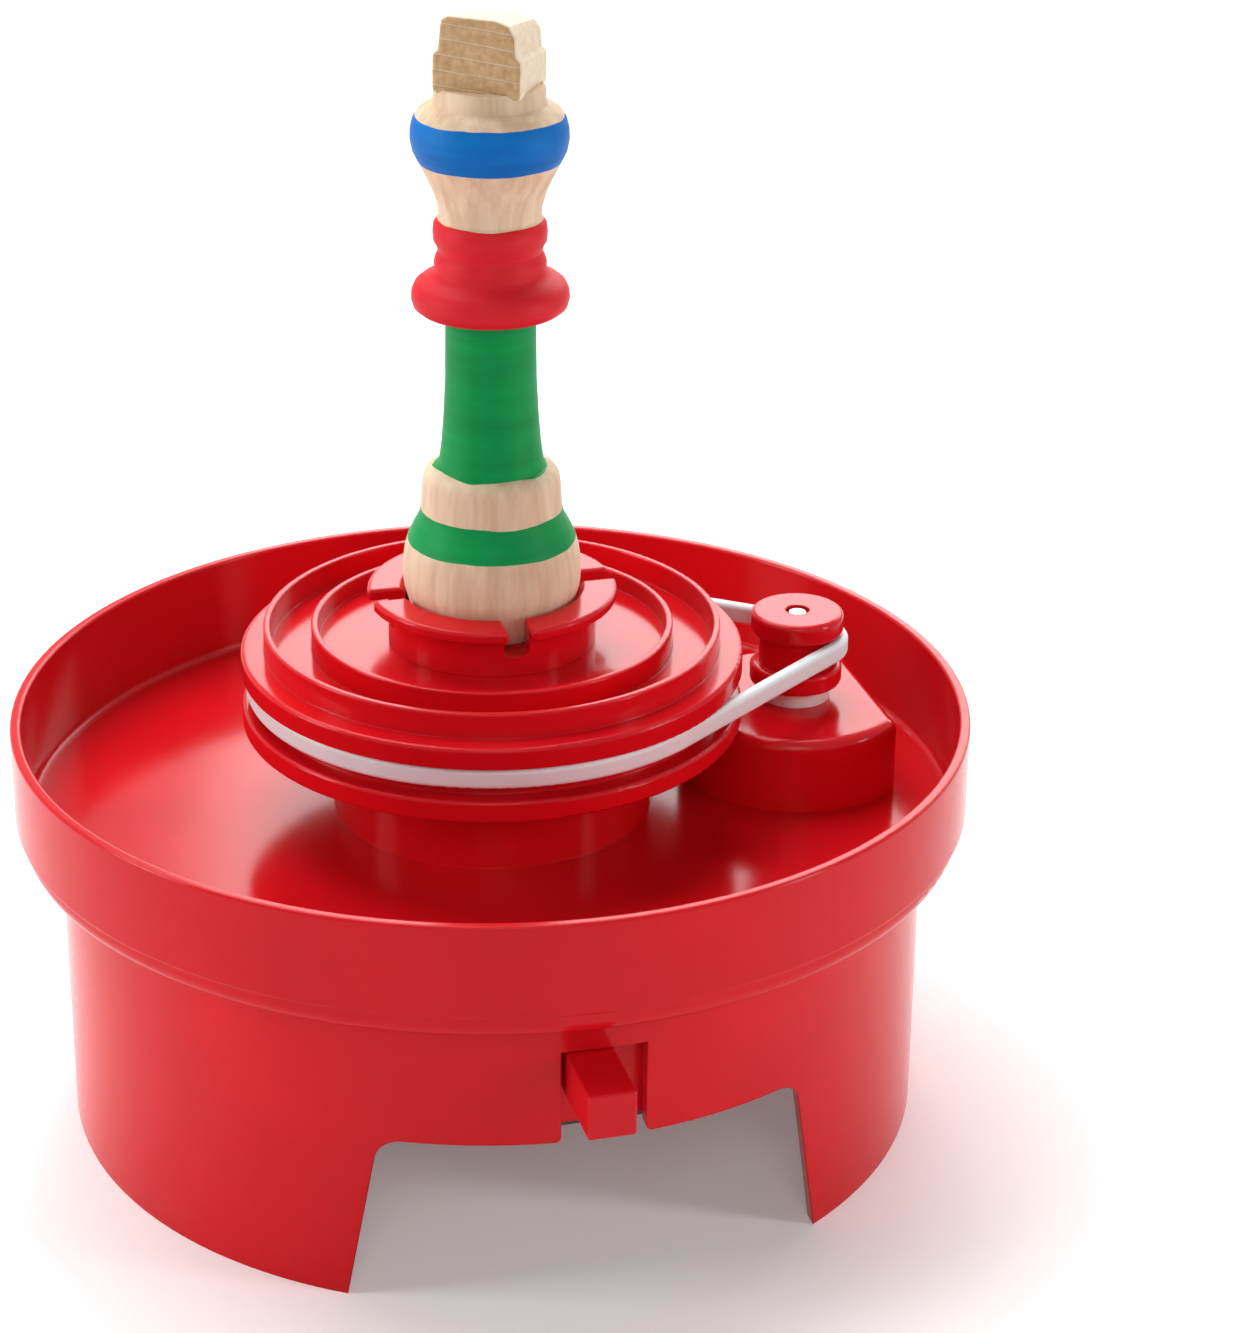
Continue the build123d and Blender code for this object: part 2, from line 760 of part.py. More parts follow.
def shaft_bearing():
    bore = shaft_radius + running_clearance
    spigot_low = can_top_z - motor_wall
    flange_top = wheel_bottom_z - bearing_gap
    bearing = turned(
        [
            (bore, spigot_low),
            (bearing_spigot_radius, spigot_low),
            (bearing_spigot_radius, cover_top_z),
            (bearing_flange_radius, cover_top_z),
            (bearing_flange_radius, flange_top),
            (bore, flange_top),
        ],
        [((bearing_flange_radius, flange_top), edge_round / 2)],
    )
    slot = block(bearing_spigot_radius, bearing_flange_radius + over_cut, -bearing_slot_width / 2,
                 bearing_slot_width / 2, cover_top_z - over_cut, flange_top + over_cut)
    return Pos(motor_x, 0, 0) * (bearing - Rot(0, 0, bearing_slot_angle) * slot)


def motor_can():
    outer = extrude(Pos(0, 0, can_bottom_z) * motor_outline(0), motor_length)
    hollow = extrude(Pos(0, 0, can_bottom_z - over_cut) * motor_outline(-motor_wall),
                     motor_length - motor_wall + over_cut)
    can = outer - hollow
    can += cylinder(motor_boss_radius, can_top_z, cover_top_z, motor_x)
    can -= cylinder(bearing_spigot_radius, can_top_z - 2 * motor_wall, cover_top_z + over_cut, motor_x)
    return can


def motor_end_cap():
    cap = extrude(Pos(0, 0, motor_bottom_z) * motor_outline(0), motor_cap_height)
    bore = shaft_radius + running_clearance
    cap -= cylinder(bore, motor_bottom_z + motor_wall, can_bottom_z + over_cut, motor_x)
    for y in terminal_rows:
        cap -= terminal(y)
    return cap


def terminal(y):
    return block(terminal_tip_x, motor_x - motor_flat_half + terminal_reach,
                 y - terminal_half_width, y + terminal_half_width,
                 terminal_z - terminal_thickness / 2, terminal_z + terminal_thickness / 2)


def motor_magnets():
    low = can_bottom_z + (motor_length - magnet_length) / 2
    high = low + magnet_length
    ring = tube(motor_radius - motor_wall, armature_radius + air_gap, low, high, motor_x)
    gap = block(motor_x - motor_radius, motor_x + motor_radius, -armature_radius / 2, armature_radius / 2,
                low - over_cut, high + over_cut)
    clip = block(motor_x - armature_radius, motor_x + armature_radius, -motor_radius, motor_radius, low, high)
    return (ring - gap) & clip


def motor_armature():
    high = armature_low_z + armature_length
    core = tube(pole_hub, shaft_radius, armature_low_z, high)
    shoes = tube(armature_radius, armature_radius - pole_shoe, armature_low_z, high)
    web = block(shaft_radius + edge_round, armature_radius - pole_shoe / 2, -pole_web / 2, pole_web / 2,
                armature_low_z, high)
    slot = block(armature_radius - 2 * pole_shoe, armature_radius + over_cut, -pole_web / 2, pole_web / 2,
                 armature_low_z - over_cut, high + over_cut)
    for angle in (0, 120, 240):
        core += Rot(0, 0, angle) * web
        shoes -= Rot(0, 0, angle + 60) * slot
    return Pos(motor_x, 0, 0) * (core + shoes)


def motor_windings():
    inner = pole_hub + air_gap
    outer = armature_radius - pole_shoe - 2 * air_gap
    coil = block(inner, outer, -pole_web / 2 - winding_bulk, pole_web / 2 + winding_bulk,
                 armature_low_z - winding_bulk, armature_low_z + armature_length + winding_bulk)
    coil -= block(inner - over_cut, outer + over_cut, -pole_web / 2, pole_web / 2,
                  armature_low_z, armature_low_z + armature_length)
    coils = [Pos(motor_x, 0, 0) * Rot(0, 0, angle) * coil for angle in (0, 120, 240)]
    return joined(coils)


def motor_commutator():
    low = can_bottom_z + edge_round
    ring = tube(commutator_radius, shaft_radius, low, low + commutator_length)
    for angle in (60, 180, 300):
        slit = block(shaft_radius + edge_round, commutator_radius + over_cut, -edge_round / 4, edge_round / 4,
                     low - over_cut, low + commutator_length - edge_round)
        ring -= Rot(0, 0, angle) * slit
    return Pos(motor_x, 0, 0) * ring


def motor_brushes():
    low = can_bottom_z + edge_round
    mid = low + commutator_length / 2
    brushes = []
    for side in (-1, 1):
        near = side * (commutator_radius + slider_gap)
        far = near + side * leaf_thickness * 2
        y0, y1 = sorted((near, far))
        strip = block(motor_x - commutator_radius, motor_x + commutator_radius, y0, y1,
                      can_bottom_z, mid + commutator_length / 4)
        brushes.append(strip)
    return joined(brushes)


# Motor cradle

def motor_cradle():
    inner = motor_radius + cradle_play
    ring = cylinder(cradle_radius, cradle_bottom_z, base_height, motor_x)
    for x, y in cradle_screws:
        ring += cylinder(cradle_ear_radius, base_height - cradle_plate, base_height, x, y)
        length = math.hypot(x - motor_x, y)
        angle = math.degrees(math.atan2(y, x - motor_x))
        web = block(0, length, -cradle_ear_radius, cradle_ear_radius, base_height - cradle_plate, base_height)
        ring += Pos(motor_x, 0, 0) * Rot(0, 0, angle) * web
    ring -= cylinder(inner, motor_bottom_z, base_height + over_cut, motor_x)
    ring -= cylinder(inner - cradle_wall, cradle_bottom_z - over_cut, motor_bottom_z + over_cut, motor_x)
    window = block(motor_x - rim_radius / 4, motor_x + rim_radius / 4, -motor_radius / 2, motor_radius / 2,
                   motor_bottom_z - edge_round, base_height - 2 * cradle_plate)
    ring -= window
    for x, y in cradle_screws:
        hole = screw_radius + screw_hole_play
        ring -= cylinder(hole, base_height - 2 * cradle_plate, base_height + over_cut, x, y)
    return ring


# Battery box

def battery_box():
    body = block(box_x - box_half_x, box_x + box_half_x, -box_half_y, box_half_y, box_bottom_z, base_height)
    inner_x = box_half_x - box_wall
    body -= block(box_x - inner_x, box_x + inner_x, -box_inner_y, box_inner_y,
                  box_bottom_z - over_cut, base_height - box_wall)
    body += block(box_x - box_wall / 2, box_x + box_wall / 2, -box_inner_y, box_inner_y,
                  base_height - box_wall - cell_diameter / 5, base_height - box_wall)
    for x, y in box_mounts:
        side = math.copysign(1, y)
        ear = cylinder(box_ear_radius, box_mount_z - door_thickness, box_mount_z, x, y)
        y0, y1 = sorted((side * box_inner_y + side * box_wall / 2, y))
        ear += block(x - box_ear_radius, x + box_ear_radius, y0, y1,
                     box_mount_z - door_thickness, box_mount_z)
        ear -= cylinder(screw_radius + screw_hole_play, box_bottom_z, box_mount_z + over_cut, x, y)
        body += ear
    for x, y in door_mounts:
        side = math.copysign(1, y)
        boss = cylinder(box_ear_radius - box_wall / 2, box_bottom_z, base_height - box_wall, x, y)
        y0, y1 = sorted((side * box_inner_y + side * box_wall / 2, y))
        boss += block(x - box_wall, x + box_wall, y0, y1, box_bottom_z, base_height - box_wall)
        boss -= cylinder(screw_radius, box_bottom_z - over_cut, cell_z, x, y)
        body += boss
    for x in (box_x - tag_offset, box_x + tag_offset):
        body -= tag(x)
    return body


def tag(x):
    """Solder tag that leaves the battery box through its front wall."""
    return block(x - tag_width / 2, x + tag_width / 2, -box_half_y - tag_reach, -box_inner_y,
                 cell_z + cell_diameter / 4, cell_z + cell_diameter / 4 + contact_thickness)


def cell(x, nub_side):
    nub_y = nub_side * (box_inner_y - contact_thickness)
    shoulder_y = nub_y - nub_side * cell_nub_length
    end_y = nub_y - nub_side * cell_length
    y0, y1 = sorted((shoulder_y, end_y))
    body = rod_y(cell_diameter / 2, x, cell_z, y0, y1)
    n0, n1 = sorted((nub_y, shoulder_y))
    body = fillet(body.edges().filter_by(GeomType.CIRCLE), edge_round)
    return body + rod_y(cell_nub_radius, x, cell_z, n0, n1)


def contact_plate(x, side):
    y0, y1 = sorted((side * box_inner_y, side * (box_inner_y - contact_thickness)))
    return block(x - contact_width / 2, x + contact_width / 2, y0, y1,
                 cell_z - contact_width / 2, cell_z + contact_width / 2)


def battery_contacts():
    left = contact_plate(box_x - cell_offset, -1) + tag(box_x - tag_offset)
    right = contact_plate(box_x + cell_offset, -1) + tag(box_x + tag_offset)
    return left + right


def contact_bridge():
    y0, y1 = box_inner_y - contact_thickness, box_inner_y
    reach = cell_offset + contact_width / 2
    return block(box_x - reach, box_x + reach, y0, y1, cell_z - contact_width / 2, cell_z + contact_width / 2)


def contact_spring(x, side):
    """Conical contact spring, held by its outer shape."""
    large, small, wire = contact_width / 2, cell_nub_radius, contact_thickness * 2
    cone = Cone(large, small, spring_length) - Cone(large - wire, small - wire, spring_length)
    turn = Rot(90, 0, 0) if side > 0 else Rot(-90, 0, 0)
    y = side * (box_inner_y - contact_thickness - spring_length / 2)
    return Pos(x, y, cell_z) * turn * cone


def battery_door():
    low = box_bottom_z - door_thickness
    door = block(box_x - box_half_x, box_x + box_half_x, -box_half_y, box_half_y, low, box_bottom_z)
    door = fillet(door.edges().filter_by(Axis.Z), box_wall)
    for x, y in door_mounts:
        side = math.copysign(1, y)
        y0, y1 = sorted((side * (box_half_y - box_wall), y))
        door += cylinder(box_ear_radius, low, box_bottom_z, x, y)
        door += block(x - box_ear_radius, x + box_ear_radius, y0, y1, low, box_bottom_z)
    for x, y in door_mounts:
        door -= cylinder(screw_radius + screw_hole_play, low - over_cut, box_bottom_z + over_cut, x, y)
    return door


# Switch

def switch_slider():
    plate = block(plate_left_x, plate_right_x, plate_front_y, plate_back_y, plate_bottom_z, plate_top_z)
    bar = block(bar_left_x, bar_left_x + bar_width, -bar_reach, plate_front_y, bar_bottom_z, bar_top_z)
    long_edges = bar.edges().filter_by(Axis.Y)
    front_edges = bar.faces().sort_by(Axis.Y)[0].edges()
    return plate + fillet(long_edges + front_edges, bar_round)


def leaf_tail(x):
    half = leaf_thickness / 2
    return block(x - leaf_tail_width / 2, x + leaf_tail_width / 2, bracket_back_y - leaf_thickness,
                 bracket_back_y + leaf_tail_reach, bracket_mid_z - half, bracket_mid_z + half)


def switch_leaves():
    leaves = []
    for (x0, x1), tail_x in zip((left_leaf_x, right_leaf_x), leaf_tail_x):
        strip = block(x0, x1, bracket_back_y - leaf_thickness, bracket_back_y, leaf_low_z, leaf_high_z)
        leaves.append(strip + leaf_tail(tail_x))
    return joined(leaves)


def sliding_contact():
    pad = leaf_gap
    left = left_leaf_x[0] + pad
    right = left_leaf_x[1] - pad - plate_margin
    low, high = bracket_mid_z - leaf_height / 3, bracket_mid_z + leaf_height / 3
    front = bracket_back_y - leaf_thickness - slider_gap
    strip = block(left, right, plate_back_y, plate_back_y + leaf_thickness, low, high)
    for x0, x1 in ((left, left + pad), (right - pad, right)):
        strip += block(x0, x1, front - leaf_thickness, front, low, high)
    strip += block(left, left + leaf_thickness, plate_back_y, front, low, high)
    strip += block(right - leaf_thickness, right, plate_back_y, front, low, high)
    return strip


def switch_bracket():
    low = plate_bottom_z - slider_gap - bracket_wall
    high = plate_top_z + slider_gap + bracket_wall
    outer = bracket_half_x + bracket_wall
    frame_front = -math.sqrt(skirt_inner ** 2 - outer ** 2) + slider_gap
    body = block(-outer, outer, frame_front, bracket_back_y + bracket_wall, low, high)
    body -= block(-bracket_half_x, bracket_half_x, frame_front - over_cut, bracket_back_y,
                  plate_bottom_z - slider_gap, plate_top_z + slider_gap)
    for rail_low, rail_high in ((plate_bottom_z - slider_gap, plate_bottom_z + rail_height),
                                (plate_top_z - rail_height, plate_top_z + slider_gap)):
        body += block(-outer, outer, plate_back_y + slider_gap, bracket_back_y + bracket_wall,
                      rail_low, rail_high)
    body -= block(-plate_right_x, plate_right_x, frame_front - over_cut, plate_back_y + slider_gap,
                  low - over_cut, plate_bottom_z)
    half_ear = bracket_ear_height / 2
    for side in (-1, 1):
        x0, x1 = sorted((side * (outer - bracket_wall / 2), side * bracket_ear_half))
        body += block(x0, x1, bracket_back_y, bracket_back_y + bracket_wall,
                      bracket_mid_z - half_ear, bracket_mid_z + half_ear)
        body -= rod_y(small_screw_radius + screw_hole_play, side * bracket_screw_x, bracket_mid_z,
                      bracket_back_y - over_cut, bracket_back_y + 2 * bracket_wall)
    for x in leaf_tail_x:
        body -= leaf_tail(x)
    return body


def bracket_screws():
    seat = bracket_back_y + bracket_wall
    screws = []
    for side in (-1, 1):
        x = side * bracket_screw_x
        head = rod_y(small_screw_head_radius, x, bracket_mid_z, seat, seat + screw_head_height)
        slot = block(x - small_screw_head_radius, x + small_screw_head_radius,
                     seat + screw_head_height / 2, seat + screw_head_height + over_cut,
                     bracket_mid_z - screw_slot_width / 2, bracket_mid_z + screw_slot_width / 2)
        shank = rod_y(small_screw_radius, x, bracket_mid_z, bracket_back_y - switch_boss_radius, seat)
        screws.append(head - slot + shank)
    return joined(screws)


# Leads, held from end to end

tag_z = cell_z + cell_diameter / 4 + contact_thickness / 2
tag_tip_y = -box_half_y - tag_reach
leaf_tip_y = bracket_back_y + leaf_tail_reach
plus_tag_x = box_x + tag_offset
minus_tag_x = box_x - tag_offset
floor_lead_z = base_height - floor_lead_gap
switch_lead_route = [
    (plus_tag_x, tag_tip_y, tag_z),
    (plus_tag_x, tag_tip_y - lead_drop, tag_z),
    (box_x + 12.0, tag_tip_y - 12.0, tag_z),
    (box_x + 22.5, leaf_tip_y + 11.0, bracket_mid_z + 2.5),
    (leaf_tail_x[0], leaf_tip_y + lead_drop, bracket_mid_z),
    (leaf_tail_x[0], leaf_tip_y, bracket_mid_z),
]
motor_lead_route = [
    (leaf_tail_x[1], leaf_tip_y, bracket_mid_z),
    (leaf_tail_x[1], leaf_tip_y + lead_turn, bracket_mid_z),
    (terminal_tip_x - 28.0, terminal_rows[0] - 34.0, bracket_mid_z + 1.0),
    (terminal_tip_x - 22.0, terminal_rows[0] - 23.0, bracket_mid_z + 1.0),
    (terminal_tip_x - 19.0, terminal_rows[0] - 10.0, terminal_z + 3.0),
    (terminal_tip_x - 12.0, terminal_rows[0], terminal_z),
    (terminal_tip_x, terminal_rows[0], terminal_z),
]
return_lead_route = [
    (minus_tag_x, tag_tip_y, tag_z),
    (minus_tag_x, tag_tip_y - lead_start, tag_z),
    (box_x + 2.0, tag_tip_y - 7.0, floor_lead_z - 1.0),
    (box_x + 11.5, tag_tip_y - 6.5, floor_lead_z),
    (box_x + 20.5, tag_tip_y + 1.0, floor_lead_z),
    (box_x + 30.5, tag_tip_y + 11.5, floor_lead_z - 1.0),
    (box_x + 41.0, terminal_rows[1] - 17.5, floor_lead_z - 3.0),
    (box_x + 53.0, terminal_rows[1] - 8.0, terminal_z + 5.0),
    (terminal_tip_x - 13.0, terminal_rows[1], terminal_z),
    (terminal_tip_x, terminal_rows[1], terminal_z),
]

save("basin", basin())
save("base_skirt", base_skirt())
save("motor_cover", motor_cover())
save("skirt_screws", joined([
    screw(x, y, lug_top_z - lug_thickness, lug_thickness + lug_drop - edge_round)
    for x, y in round_positions(lug_circle, lug_angles)]))

save("turntable_wheel", turntable_wheel())
save("hub_bush", tube(spindle_radius + running_clearance + bush_wall, spindle_radius + running_clearance,
                      hub_bottom_z, counterbore_z))
save("figure_collar", figure_collar())
save("collar_screws", collar_screws())
save("spindle", spindle())
save("thrust_washer", tube(boss_radius, spindle_radius + running_clearance, boss_top_z,
                           boss_top_z + thrust_washer_thickness))
save("retaining_washer", tube(washer_radius, screw_radius, counterbore_z + end_play,
                              counterbore_z + end_play + washer_thickness))
save("retaining_screw", retaining_screw())
save("wooden_figure", wooden_figure())

save("drive_belt", drive_belt())
save("motor_pulley", motor_pulley())
save("motor_shaft", motor_shaft())
save("shaft_bearing", shaft_bearing())
save("motor_can", motor_can())
save("motor_end_cap", motor_end_cap())
save("motor_terminals", joined([terminal(y) for y in terminal_rows]))
save("motor_magnets", motor_magnets())
save("motor_armature", motor_armature())
save("motor_windings", motor_windings())
save("motor_commutator", motor_commutator())
save("motor_brushes", motor_brushes())
save("motor_cradle", motor_cradle())
cradle_screw_length = cradle_plate + cover_height - cover_round - cover_wall
save("cradle_screws", joined([
    screw(x, y, base_height - cradle_plate, cradle_screw_length) for x, y in cradle_screws]))

save("battery_box", battery_box())
save("battery_left", cell(box_x - cell_offset, 1))
save("battery_right", cell(box_x + cell_offset, -1))
save("battery_contacts", battery_contacts())
save("contact_bridge", contact_bridge())
save("contact_springs", contact_spring(box_x - cell_offset, -1) + contact_spring(box_x + cell_offset, 1))
save("battery_door", battery_door())
save("door_screws", joined([
    screw(x, y, box_bottom_z - door_thickness, cell_z - box_bottom_z) for x, y in door_mounts]))
save("box_screws", joined([
    screw(x, y, box_mount_z - door_thickness, box_boss_drop) for x, y in box_mounts]))

save("switch_slider", switch_slider())
save("sliding_contact", sliding_contact())
save("switch_leaves", switch_leaves())
save("switch_bracket", switch_bracket())
save("bracket_screws", bracket_screws())

save("switch_lead", lead(switch_lead_route))
save("motor_lead", lead(motor_lead_route))
save("return_lead", lead(return_lead_route))
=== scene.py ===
import bpy
import math
from mathutils import Matrix, Vector


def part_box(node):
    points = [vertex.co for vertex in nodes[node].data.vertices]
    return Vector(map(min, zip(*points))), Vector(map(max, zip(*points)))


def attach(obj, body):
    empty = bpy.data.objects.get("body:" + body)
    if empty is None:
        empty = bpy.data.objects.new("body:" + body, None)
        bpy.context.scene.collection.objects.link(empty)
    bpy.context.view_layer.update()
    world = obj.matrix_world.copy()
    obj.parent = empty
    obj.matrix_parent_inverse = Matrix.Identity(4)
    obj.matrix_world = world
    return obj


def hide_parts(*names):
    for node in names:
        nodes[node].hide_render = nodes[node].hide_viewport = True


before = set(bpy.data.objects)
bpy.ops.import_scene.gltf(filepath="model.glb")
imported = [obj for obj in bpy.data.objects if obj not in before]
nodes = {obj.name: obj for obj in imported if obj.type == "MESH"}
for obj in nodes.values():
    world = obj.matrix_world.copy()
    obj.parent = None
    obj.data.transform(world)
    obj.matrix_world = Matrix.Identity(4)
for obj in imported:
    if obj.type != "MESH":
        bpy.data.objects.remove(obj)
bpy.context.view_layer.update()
MM = 0.001

# Camera
PHOTO_HEIGHT = 1333
FOCAL_PIXELS = 3372
SENSOR_HEIGHT = 36.0
NEAREST_SEEN = 0.01
CAMERA_AT = Vector((-119.2, -500.5, 308.8)) * MM
CAMERA_AIM = Vector((21.5, -5.1, 77.1)) * MM
CAMERA_ROLL = math.radians(0.711)

# Floor and backdrop
FLOOR_WHITE = (0.93, 0.93, 0.93, 1.0)
PURE_WHITE = (1.0, 1.0, 1.0, 1.0)
FLOOR_HALF = 6.0
FLOOR_LIFT = 0.16
WORLD_LIGHT = 0.13

# Softboxes: name, place, point aimed at, width, height (all in m), power in W
MIDDLE = (0.0, 0.0, 0.06)
SOFTBOXES = (
    ("top_softbox", (-0.15, 0.50, 1.15), MIDDLE, 1.1, 0.9, 14.5),
    ("back_softbox", (0.60, 0.95, 0.62), MIDDLE, 1.1, 0.5, 8.0),
    ("left_softbox", (-0.95, 0.10, 0.36), MIDDLE, 0.3, 0.6, 5.0),
    ("right_softbox", (0.80, -0.52, 0.30), MIDDLE, 0.16, 0.5, 3.2),
    ("front_softbox", (-0.2, -1.0, 0.75), (0, 0, 0.15), 0.5, 0.4, 2.2),
)

# Turned figure: radius and height above its foot in mm, from the foot up
FIGURE_SEGMENTS = 96
FIGURE_PROFILE = (
    (12.2, 0), (12.8, 0.5), (13.4, 2.4), (14.0, 4.6), (14.5, 6.4), (14.7, 8.4), (14.6, 10.8),
    (14.3, 12.8), (13.8, 14.6), (12.9, 16.6), (12.0, 18.2), (11.6, 19.8), (11.3, 24.2),
    (11.1, 25.4), (10.6, 26.3), (9.8, 26.8), (8.8, 27.0), (8.55, 27.8), (8.1, 31.0), (7.7, 36.0),
    (7.4, 42.0), (7.3, 50.0), (7.35, 53.2), (10.2, 53.25), (11.5, 53.6), (12.35, 54.3),
    (12.7, 55.5), (12.6, 56.7), (12.1, 57.8), (11.1, 58.6), (10.0, 59.1), (9.2, 59.7),
    (8.95, 60.4), (9.0, 61.4), (8.75, 62.3), (8.3, 63.2), (8.55, 64.1), (9.05, 65.0),
    (9.15, 66.4), (9.0, 67.7), (8.5, 68.4), (8.15, 68.8), (8.3, 70.6), (9.0, 73.0),
    (10.1, 75.4), (11.2, 77.6), (12.2, 79.6), (12.55, 81.4), (12.5, 83.0), (12.1, 84.6),
    (11.3, 85.8), (10.2, 86.6), (9.1, 87.1), (8.85, 87.6), (8.85, 89.4), (8.4, 90.0),
)

# Paint on the figure: kind and the height in mm above the foot where it ends
BANDS = (
    ("wood", 14.5), ("green", 19.8), ("wood", 26.9), ("green", 53.22), ("red", 68.5),
    ("wood", 78.0), ("blue", 85.2), ("wood", 200.0),
)

# Sawn block on the figure: outline of its front face, sideways and up in mm
BLOCK_FRONT = (
    (-7.3, 0.4), (-6.4, -0.2), (7.3, -0.2), (7.4, 5.8), (6.6, 6.6), (6.4, 9.6), (5.4, 11.3),
    (3.2, 12.1), (-4.6, 12.3), (-5.8, 11.6), (-6.3, 6.9), (-7.2, 6.2),
)
BLOCK_TOP = 12.1
BLOCK_DEPTH = 13.0
BLOCK_TOP_FALL = 1.6
BLOCK_FOOT = 89.4
BLOCK_TURN = math.radians(-33.0)
BLOCK_ROUNDING = 0.7
BLOCK_EDGE = math.radians(50)
SMOOTH_UP_TO = math.radians(38)

# Saw lines on the block's front face: radians per m, slope, waver in m, face depth in mm
SAW_WAVE = 2600.0
SAW_SLOPE = 0.08
SAW_WAVER = 0.0006
SAW_FACE = 0.25


def aim(position, target, roll=0.0):
    """Matrix of a lamp or camera that looks from position to target."""
    back = (position - target).normalized()
    right = Vector((0, 0, 1)).cross(back).normalized()
    up = back.cross(right)
    turned_right = math.cos(roll) * right + math.sin(roll) * up
    turned_up = -math.sin(roll) * right + math.cos(roll) * up
    axes = Matrix((turned_right, turned_up, back)).transposed().to_4x4()
    return Matrix.Translation(position) @ axes


def link_object(name, data):
    piece = bpy.data.objects.new(name, data)
    bpy.context.scene.collection.objects.link(piece)
    return piece


def add_camera():
    """Camera at the photo's angle and framing."""
    data = bpy.data.cameras.new("camera")
    data.sensor_fit = "VERTICAL"
    data.sensor_height = SENSOR_HEIGHT
    data.lens = FOCAL_PIXELS / PHOTO_HEIGHT * SENSOR_HEIGHT
    data.clip_start = NEAREST_SEEN
    camera = link_object("camera", data)
    camera.matrix_world = aim(CAMERA_AT, CAMERA_AIM, CAMERA_ROLL)
    bpy.context.scene.camera = camera


def mesh_object(name, points, faces, material):
    """Smooth shaded mesh with sharp edges where its faces turn."""
    mesh = bpy.data.meshes.new(name)
    mesh.from_pydata(points, [], faces)
    mesh.validate()
    for polygon in mesh.polygons:
        polygon.use_smooth = True
    mesh.set_sharp_from_angle(angle=SMOOTH_UP_TO)
    mesh.materials.append(material)
    return link_object(name, mesh)


def turned_figure(material, foot):
    """Solid of revolution with the profile of the figure."""
    count = FIGURE_SEGMENTS
    points = []
    for radius, height in FIGURE_PROFILE:
        for step in range(count):
            angle = 2 * math.pi * step / count
            x, y = radius * MM * math.cos(angle), radius * MM * math.sin(angle)
            points.append((x, y, foot + height * MM))
    faces = []
    top = (len(FIGURE_PROFILE) - 1) * count
    for low in range(0, top, count):
        high = low + count
        for step in range(count):
            after = (step + 1) % count
            faces.append((low + step, low + after, high + after, high + step))
    faces.append(tuple(reversed(range(count))))
    faces.append(tuple(range(top, top + count)))
    return mesh_object("figure_turned", points, faces, material)


def sawn_block(material, foot):
    """Sawn block with stepped sides and a top that falls to the back."""
    count = len(BLOCK_FRONT)
    turn = Matrix.Rotation(BLOCK_TURN, 4, "Z")
    points = []
    for y in (-BLOCK_DEPTH / 2, BLOCK_DEPTH / 2):
        fall = BLOCK_TOP_FALL if y > 0 else 0.0
        for x, z in BLOCK_FRONT:
            z -= fall * max(z, 0) / BLOCK_TOP
            point = turn @ Vector((x * MM, y * MM, 0))
            points.append((point.x, point.y, foot + (BLOCK_FOOT + z) * MM))
    faces = [tuple(range(count)), tuple(reversed(range(count, 2 * count)))]
    for step in range(count):
        after = (step + 1) % count
        faces.append((after, step, step + count, after + count))
    piece = mesh_object("figure_block", points, faces, material)
    bevel = piece.modifiers.new("rounding", "BEVEL")
    bevel.width = BLOCK_ROUNDING * MM
    bevel.segments = 4
    bevel.limit_method = "ANGLE"
    bevel.angle_limit = BLOCK_EDGE
    return piece


def seen_ray(tree):
    """1 where the camera looks, directly or through gloss or glass, and 0 for light."""
    path = tree.nodes.new("ShaderNodeLightPath")
    seen = path.outputs["Is Camera Ray"]
    for ray in ("Is Glossy Ray", "Is Transmission Ray"):
        either = tree.nodes.new("ShaderNodeMath")
        either.operation = "MAXIMUM"
        tree.links.new(seen, either.inputs[0])
        tree.links.new(path.outputs[ray], either.inputs[1])
        seen = either.outputs["Value"]
    return seen


